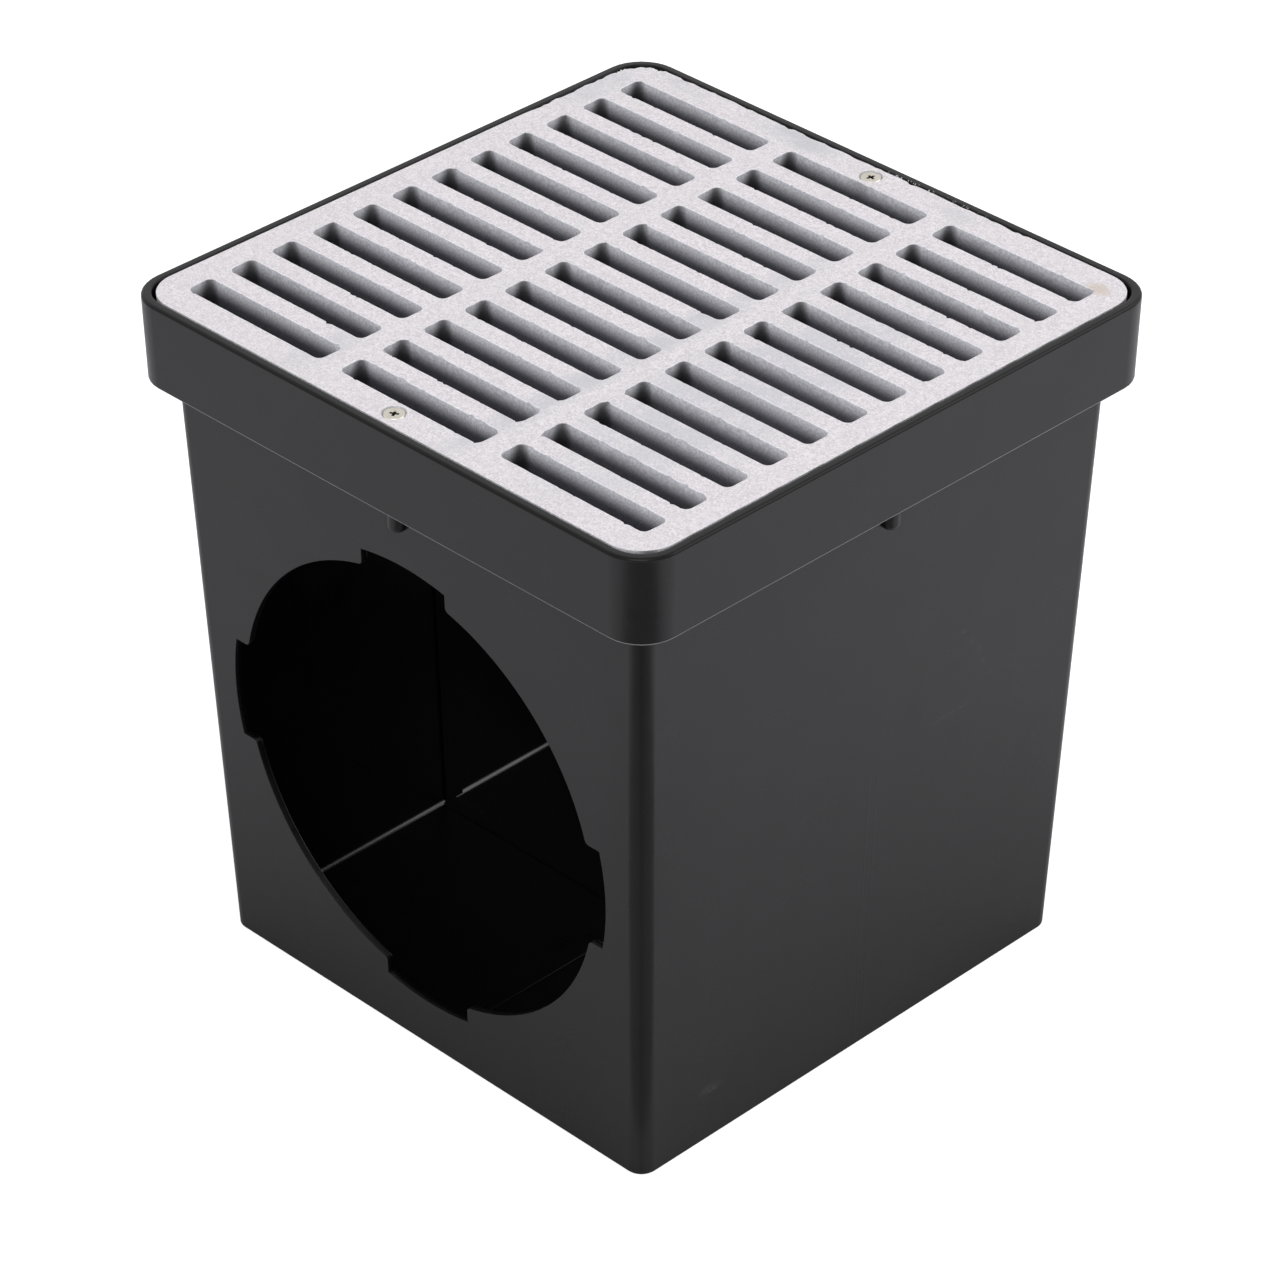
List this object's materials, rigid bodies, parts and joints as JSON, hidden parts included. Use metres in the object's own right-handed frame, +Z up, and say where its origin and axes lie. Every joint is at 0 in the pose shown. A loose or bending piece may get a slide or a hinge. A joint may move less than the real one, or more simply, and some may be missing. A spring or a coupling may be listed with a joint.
{
  "type": "catch basin with drain grate",
  "caption": "Square drain grate screwed into a tapered catch basin with a wide collar and notched round pipe openings.",
  "frame": {"origin": "middle of the underside of the basin", "axes": "+Z up through the grate, -Y towards the pipe opening that the picture shows, +X towards the closed wall that the picture shows"},
  "size_m": [0.3148, 0.3148, 0.3352],
  "materials": {
    "basin_plastic": "satin moulded",
    "grate_metal": "as cast, top face ground",
    "screw_steel": "plain stainless"
  },
  "bodies": {
    "root": {"catch_basin": "basin_plastic", "grate": "grate_metal", "grate_screw_front": "screw_steel", "grate_screw_rear": "screw_steel"}
  },
  "joints": []
}
